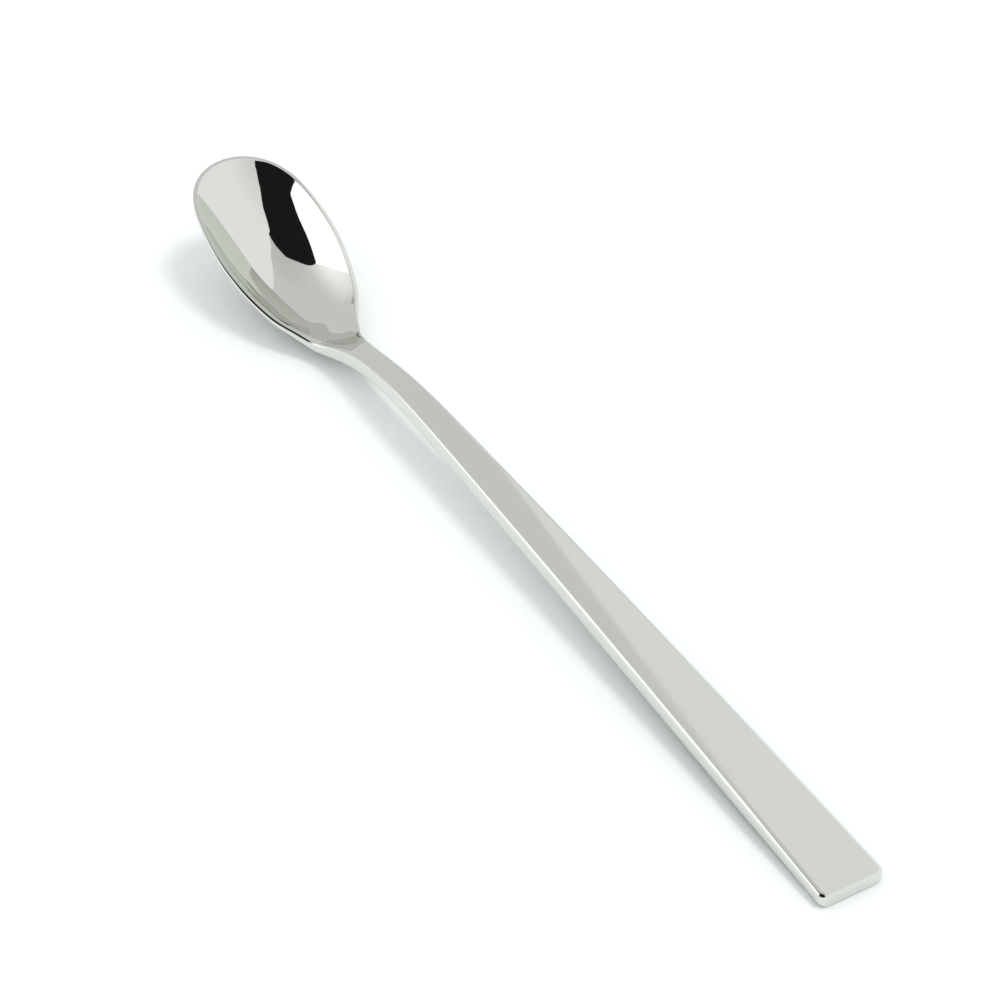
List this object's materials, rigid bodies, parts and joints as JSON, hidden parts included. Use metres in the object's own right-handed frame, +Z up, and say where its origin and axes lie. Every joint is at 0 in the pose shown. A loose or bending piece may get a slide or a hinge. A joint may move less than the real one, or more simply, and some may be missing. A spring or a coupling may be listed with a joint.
{
  "type": "iced_tea_spoon",
  "caption": "Long iced tea spoon in polished stainless steel with a small deep oval bowl, a low gooseneck and a flat handle that widens to a square end",
  "frame": {"origin": "at table height, below the middle of the spoon's length and width", "axes": "+X from the bowl to the handle's end, +Z up out of the bowl's open side, +Y across the spoon, on the left when looking from the bowl to the handle's end"},
  "size_m": [0.2, 0.0238, 0.0183],
  "materials": {
    "bowl_steel": "polished stainless steel",
    "handle_steel": "polished stainless steel"
  },
  "bodies": {
    "root": {"bowl": "bowl_steel", "handle": "handle_steel"}
  },
  "joints": []
}
